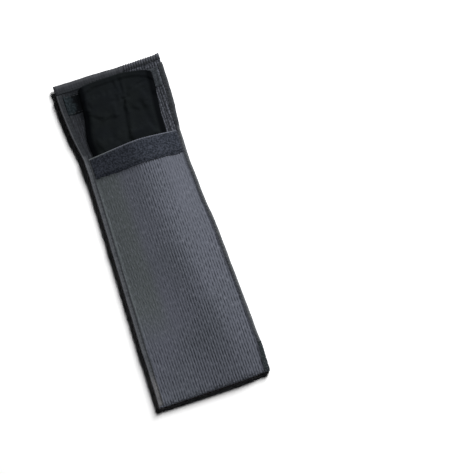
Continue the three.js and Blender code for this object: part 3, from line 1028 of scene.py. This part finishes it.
# Black, as painted shadow, where the wallet's tail lies beside and over the strip.
nylon_colour = srgb("#0b0d10")
hook_slate_ends = ((-28, -30.5, "#141a1d", "#2a3135"), (25, 29, "#2f3337", "#4a4e53"))
for shadow_end, slate_start, dark, light in hook_slate_ends:
    slate_share = add_node(
        tree,
        "ShaderNodeMapRange",
        {"Value": ragged_across, "From Min": shadow_end * mm, "From Max": slate_start * mm},
    )
    slate_and_sheen_tone = add_node(
        tree,
        "ShaderNodeMix",
        {"Factor_Float": nylon_share, "A_Color": srgb(dark), "B_Color": srgb(light)},
        data_type="RGBA",
    )
    nylon_colour = add_node(
        tree,
        "ShaderNodeMix",
        {"Factor_Float": slate_share, "A_Color": nylon_colour, "B_Color": slate_and_sheen_tone},
        data_type="RGBA",
    )
nylon = add_node(
    tree,
    "ShaderNodeBsdfPrincipled",
    {"Base Color": nylon_colour, "Roughness": 0.8, "Specular IOR Level": 0.05},
)
add_node(tree, "ShaderNodeOutputMaterial", {"Surface": nylon})
thicken(hook_strip, hook_cloth, nylon_hooks)
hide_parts("hook_strip")
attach(hook_strip, "flap")

places = []
for row, along in enumerate(np.arange(1.2, strip_width - 0.8, hook_row_pitch)):
    for x in np.arange(-hook_half + 1.2 + 0.5 * (row % 2), hook_half - 1.2, hook_pitch):
        way = math.pi * (row % 2) + chance.uniform(-0.3, 0.3)
        y = hook_low_y + along
        foot = Vector((x, y, back_height(x, y) + hook_ground + 0.25)) * mm
        places.append(Matrix.Translation(foot) @ Matrix.Rotation(way, 4, "Z"))
hooks = repeated("hooks", new_arc(hook_radius, hook_thread, 215, 5), places)
hooks.data.materials.append(nylon_hooks)
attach(hooks, "flap")
for name, along in (("low", strip_seam_inset), ("high", strip_width - strip_seam_inset)):
    x = np.arange(-hook_half + 1, hook_half - 1, stitch_pitch)
    y = np.full_like(x, hook_low_y + along)
    border_seam = stitched(f"hook_seam_{name}", list(zip(x, y, back_height(x, y) + hook_ground + 0.05)))
    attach(border_seam, "flap")

# Tape lap: where the right tape was started, at the bottom, its end is covered by a short piece of
# brushed tape, folded over the edge and sewn down. It is nearly black, with light fibres caught in it.
lap_length = 21
lap_cloth = 0.35
lap_across = np.linspace(tape_leg + 0.3, tape_flat, 22)


def lap_shape(across, along):
    y = tape_start_y + 0.3 + along
    depth, z = tape_section(across, 0.1, sleeve_tape_top(y) + 0.3)
    wide = mix(0.95, 0.6, smooth(along / lap_length))
    return cover_half(y) + right_bow(y) + 0.3 - 0.2 * smooth(along / 12) - depth * wide, y, z


def lap_relief(across, along):
    shown = smooth((across - tape_leg) / 1.5)
    return shown * (0.28 * unevenness(across, along, 1.2, 15) + 0.12 * unevenness(across, along, 0.5, 16))


lap = sewn_sheet("tape_lap", lap_across, np.linspace(lap_length, 0, 90), lap_shape, lap_relief)
speck_size = 0.909
brushed_tape, tree = new_finish("brushed_tape")
flat_lap = add_node(tree, "ShaderNodeUVMap")
specks = add_node(tree, "ShaderNodeTexNoise", {"Vector": flat_lap, "Scale": 1 / (speck_size * mm)})
speck_share = add_node(tree, "ShaderNodeMapRange", {"Value": specks, "From Min": 0.56, "From Max": 0.74})
lap_colour = add_node(
    tree,
    "ShaderNodeMix",
    {"Factor_Float": speck_share, "A_Color": srgb("#31373a"), "B_Color": srgb("#666c6b")},
    data_type="RGBA",
)
brushed = add_node(
    tree,
    "ShaderNodeBsdfPrincipled",
    {"Base Color": lap_colour, "Roughness": 1.0, "Specular IOR Level": 0.1},
)
add_node(tree, "ShaderNodeOutputMaterial", {"Surface": brushed})
thicken(lap, lap_cloth, brushed_tape)
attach(lap, "sleeve")

# Wallet, back panel: two plies of black cotton with water-holding crystals between them, sewn together
# down the middle and along the sides. The crystals swell when the wallet is soaked. Pulled out of the
# sleeve that props it open, the wallet lies flatter and higher, over the hooks and tape of the open flap.
wallet_half = 27
lining_half = 25
wallet_seam = 22
quilt_half = 1
wallet_rest = 0.85  # the height that it lies at inside the sleeve
wallet_base = 2.5  # and on the hook strip
sag_floor = 1.35  # past the mouth its edges hang no lower than this
ply_stack = 1.05  # two plies and the seams between them
closed_stack = 0.7  # at the closed end, where no crystals are
edge_stack = 0.4
wallet_end_y = -106.5
tail_end_y = 112.5
tail_corner = 4
hem_depth = 4
hem_extra = 0.65
pad_start_y = -92.5
panel_end_y = 60  # a cross seam, under the sleeve's mouth
tail_pad_starts_y = (panel_end_y, 84)
tail_pad_ends_y = (74, 104.5)
pad_swell = 1.0
pad_sink = 0.1  # how far a pad swells down, onto what it lies on
tail_swell = 0.7  # the limp tail swells less, and so clears the sleeve when the flap is closed
solver_scale = 8  # the panels are simulated this much larger, at the size the cloth solver is made for
solver_frames = 20
shift_most = 0.4  # a point of a pad moves sideways by no more


def quilted_panel(name, across, along, shape, depth, loose, up, down):
    """A closed panel of two plies. depth is the panel's thickness at a place, and loose says where its
    plies aren't sewn together: there the cloth solver blows them apart, by up to so much up and down."""
    panel = sewn_sheet(name, across, along, shape)
    half = len(panel.data.vertices)
    work(panel, "SOLIDIFY", thickness=1 * mm, offset=-1)
    points = read_points(panel)
    points[half:] = points[:half]
    points[half:, 2] -= depth(points[:half, 0] / mm, points[:half, 1] / mm) * mm
    write_points(panel, points)
    free = loose(points[:, 0] / mm, points[:, 1] / mm)
    sewn = panel.vertex_groups.new(name="sewn")
    for index in np.flatnonzero(free < 1):
        sewn.add([int(index)], float(1 - free[index]), "REPLACE")
    panel.data.transform(Matrix.Scale(solver_scale, 4))
    cloth = panel.modifiers.new("Cloth", "CLOTH")
    cloth.settings.quality = 6
    cloth.settings.mass = 0.3
    cloth.settings.bending_stiffness = 0.3
    cloth.settings.use_pressure = True
    cloth.settings.uniform_pressure_force = 4
    cloth.settings.shrink_min = -0.05
    cloth.settings.vertex_group_mass = sewn.name
    cloth.settings.effector_weights.gravity = 0
    cloth.collision_settings.use_collision = False
    for number in range(1, solver_frames + 1):
        bpy.context.scene.frame_set(number)
    bpy.context.view_layer.objects.active = panel
    bpy.ops.object.modifier_apply(modifier=cloth.name)
    panel.data.transform(Matrix.Scale(1 / solver_scale, 4))
    bpy.context.scene.frame_set(1)
    moved = read_points(panel) - points
    moved[:, :2] = np.clip(moved[:, :2], -shift_most * mm, shift_most * mm)
    moved[:, 2] = np.clip(moved[:, 2], -down * mm, up * mm)
    write_points(panel, points + moved)
    panel.vertex_groups.clear()
    panel.data.update()
    work(panel, "SUBSURF", levels=1, render_levels=1)
    panel.data.shade_smooth()
    panel.data.materials.append(black_cotton)
    return panel


def between(value, start, end, rise):
    """1 from start to end and 0 beyond, reached over a length rise inside either end."""
    return clamp((value - start) / rise) * clamp((end - value) / rise)


def pad_columns(x):
    return between(np.abs(x), quilt_half, wallet_seam, 1)


def back_loose(x, y):
    return pad_columns(x) * between(y, pad_start_y, panel_end_y, 2)


def tail_loose(x, y):
    pads = [between(y, start, end, 2) for start, end in zip(tail_pad_starts_y, tail_pad_ends_y)]
    return pad_columns(x) * np.maximum(*pads)


def wallet_low(y):
    """Underside of the wallet: it lies on the back panel, and past the mouth on the hook strip."""
    return mix(wallet_rest, wallet_base, smooth((y - 50) / 14))


def panel_depth(x, y):
    """Two plies and what is between them, thinner at the closed end and along the very edge."""
    past_hem = y - tail_end_y + hem_depth + tail_corner * (np.abs(x) / wallet_half) ** 5
    hem = hem_extra * smooth(past_hem / 0.5)
    plies = mix(closed_stack, ply_stack, smooth((y - pad_start_y) / 6))
    return mix(plies, edge_stack, smooth((np.abs(x) - lining_half) / 2)) + hem


def tail_sag(x, y):
    """The wallet's edges hang down to the cover, except over the hook strip, which carries them."""
    drop = np.maximum(wallet_low(y) - sag_floor, 0) * smooth((np.abs(x) - 20) / 6)
    return drop * smooth((y - 50) / 8) * smooth((hook_low_y - 1 - y) / 5)


tail_creases = (
    # from x, y to x, y; height and width of the ridge, or of the valley where the height is negative
    ((2.3, 95), (0.5, 65), -0.8, 1.6),
    ((2.3, 96), (3.4, 109), -0.7, 0.9),
    ((3.4, 97), (5.4, 109), 0.7, 0.8),
    ((1.8, 96), (-2.2, 109), -0.6, 0.9),
    ((1.0, 97), (-0.4, 108), 0.65, 0.8),
    ((5.0, 93), (3.5, 69), 0.55, 2.4),
    ((-3.5, 92), (-6.5, 71), 0.35, 2.6),
    ((14.0, 89), (20.0, 67), -0.4, 2.0),
    ((-12.0, 87), (-19.0, 69), 0.4, 2.4),
    ((12.0, 101), (21.0, 104.5), -0.3, 1.0),
    ((12.0, 98.5), (20.0, 101.5), 0.25, 1.2),
)


def tail_relief(x, y):
    """Creases and soft waves of the limp tail. They are low where the closed flap presses on it."""
    height = 0.5 * (unevenness(x, y, 17, 21) + 0.5)
    for start, end, rise, width in tail_creases:
        way = np.subtract(end, start)
        share = clamp(((x - start[0]) * way[0] + (y - start[1]) * way[1]) / (way @ way))
        aside = np.hypot(x - start[0] - share * way[0], y - start[1] - share * way[1])
        height = height + rise * np.exp(-((aside / width) ** 2))
    kept = smooth((y - 63) / 8) * mix(1, 0.85, smooth((y - 92) / 5))
    return kept * height * smooth((wallet_half - np.abs(x)) / 6)


def back_shape(across, along):
    y = wallet_end_y + along
    corner = 3 * smooth((y - 89) / 22) * (np.abs(across) / wallet_half) ** 9
    slant = smooth((y - 91) / 20) * (3 * smooth((across - 4) / 22) - 1.4)
    waist = 0.5 * unevenness(y, 0 * y, 19, 22) * (np.abs(across) / wallet_half) * smooth((y - 65) / 10)
    top = wallet_low(y) + panel_depth(across, y) - tail_sag(across, y) + tail_relief(across, y)
    top = top + 0.4 * smooth((y - tail_end_y + 2) / 2)
    sway = 3.4 * smooth((y - mouth_y - 3) / 45)
    spread = 1.6 * np.exp(-(((y - 76) / 12) ** 2)) * smooth((-across - 12) / 12)
    return across + sway - spread + waist * np.sign(across), y - corner - slant, top


# Black cotton: matt, close to black, with a trace of green where it is worn. Its side margins are mixed to
# a pure black, as painted shade along the sides of the wallet.
cotton_patch_size = 14.3
cotton_weave_size = 0.4545  # coarser than the real weave, so that it shows
cotton_crease_size = 6.25
black_cotton, tree = new_finish("black_cotton")
flat_wallet = add_node(tree, "ShaderNodeUVMap")
wallet_place = add_node(tree, "ShaderNodeSeparateXYZ", {"Vector": flat_wallet})
cotton_patches = add_node(
    tree,
    "ShaderNodeTexNoise",
    {"Vector": flat_wallet, "Scale": 1 / (cotton_patch_size * mm), "Detail": 3.0},
)
cotton = add_node(
    tree,
    "ShaderNodeMix",
    {"Factor_Float": cotton_patches, "A_Color": srgb("#0f1218"), "B_Color": srgb("#191d1c")},
    data_type="RGBA",
)
aside = add_node(tree, "ShaderNodeMath", {0: wallet_place.outputs["X"]}, operation="ABSOLUTE")
side_shade_share = add_node(
    tree,
    "ShaderNodeMapRange",
    {"Value": aside, "From Min": (wallet_seam - 0.2) * mm, "From Max": (wallet_seam + 2.0) * mm},
)
# The pure black of the side margins is painted shade.
cotton_dye = add_node(
    tree,
    "ShaderNodeMix",
    {"Factor_Float": side_shade_share, "A_Color": cotton, "B_Color": srgb("#030508")},
    data_type="RGBA",
)
plain_weave = add_node(
    tree,
    "ShaderNodeTexNoise",
    {"Vector": flat_wallet, "Scale": 1 / (cotton_weave_size * mm), "Detail": 1.0},
)
small_creases = add_node(
    tree,
    "ShaderNodeTexNoise",
    {"Vector": flat_wallet, "Scale": 1 / (cotton_crease_size * mm), "Detail": 3.0},
)
weave_bump = add_node(
    tree, "ShaderNodeBump", {"Height": plain_weave, "Strength": 0.4, "Distance": 0.08 * mm}
)
crease_bump = add_node(
    tree,
    "ShaderNodeBump",
    {"Height": small_creases, "Strength": 0.5, "Distance": 0.9 * mm, "Normal": weave_bump},
)
matt_cotton = add_node(
    tree,
    "ShaderNodeBsdfPrincipled",
    {"Base Color": cotton_dye, "Roughness": 0.9, "Specular IOR Level": 0.07, "Normal": crease_bump},
)
add_node(tree, "ShaderNodeOutputMaterial", {"Surface": matt_cotton})


def flatten_when_out(piece):
    """Gives a piece of the wallet a mesh of its own."""
    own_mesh(piece)


wallet_across = np.linspace(-wallet_half, wallet_half, 37)
panel_length = panel_end_y - wallet_end_y
back_along = np.linspace(0, panel_length, 115)
wallet_back = quilted_panel(
    "wallet_back", wallet_across, back_along, back_shape, panel_depth, back_loose, pad_swell, pad_sink
)
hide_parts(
    "wallet_back_cover",
    "wallet_back_lining",
    "wallet_back_crystals_left",
    "wallet_back_crystals_right",
)
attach(wallet_back, "wallet")
flatten_when_out(wallet_back)

# Tail: the back panel's own two plies, running on out of the mouth and over the open flap. It is limp and
# creased, and its end is turned over as a hem.
tail_along = np.linspace(panel_length, tail_end_y - wallet_end_y, 50)
tail = quilted_panel(
    "wallet_tail", wallet_across, tail_along, back_shape, panel_depth, tail_loose, tail_swell, pad_sink
)
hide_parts("tail_cover", "tail_lining", "tail_crystals_left", "tail_crystals_right")
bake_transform(tail)

# Wallet, front panel: the same two quilted plies. It arches over the pen, and with the back panel it
# makes the pocket, open towards the mouth of the sleeve.
front_pad_end_y = 53.5
front_end_y = 57.85
wallet_end_top = 4.85
wallet_room = 1.4  # from the cover's outer face down to the wallet
pocket_dip = 0.65
front_swell = 0.3  # the cover leaves it more room below than above
front_sink = 0.75
panel_gap = 0.1


def wallet_front_top(x, y):
    """Outer face of the front panel: close under the cover, and nowhere lower than on the back panel."""
    crown = crown_height(np.minimum(y, 19)) - pocket_dip * clamp((y - front_pad_end_y) / 2)
    arch = 1 - clamp(np.abs(x) / lining_half) ** 2.6
    under_cover = np.minimum(mix(wallet_end_top, crown, arch), front_height(x, y)) - wallet_room
    return np.maximum(under_cover, wallet_low(y) + 2 * panel_depth(x, y) + panel_gap)


def front_shape(across, along):
    y = wallet_end_y + along
    channel = 0.35 * np.exp(-((across / 1.5) ** 2)) * smooth((y - pad_start_y) / 4)
    return across, y, wallet_front_top(across, y) - channel


def front_loose(x, y):
    return pad_columns(x) * between(y, pad_start_y, front_pad_end_y, 2)


wallet_front = quilted_panel(
    "wallet_front",
    wallet_across,
    np.linspace(0, front_end_y - wallet_end_y, 115),
    front_shape,
    panel_depth,
    front_loose,
    front_swell,
    front_sink,
)
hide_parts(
    "wallet_front_cover",
    "wallet_front_lining",
    "wallet_front_crystals_left",
    "wallet_front_crystals_right",
)
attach(wallet_front, "wallet")
flatten_when_out(wallet_front)

# Pocket binding: a strip of the same black cotton, folded over the front panel's raw mouth and sewn.
binding_share = 3 / tape_width
pocket_mouth_y = 58.5
binding_half = 24.6
binding_cloth = 0.3


def binding_shape(across, along):
    x = along - binding_half
    top = wallet_front_top(x, front_end_y + 0 * x)
    depth, z = tape_section(across, top - ply_stack - 0.35, top + 0.35)
    return x, pocket_mouth_y - depth * binding_share, z


binding = sewn_sheet("pocket_binding", tape_across, np.linspace(0, 2 * binding_half, 120), binding_shape)
thicken(binding, binding_cloth, black_cotton)
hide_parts("pocket_tape")
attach(binding, "wallet")
flatten_when_out(binding)
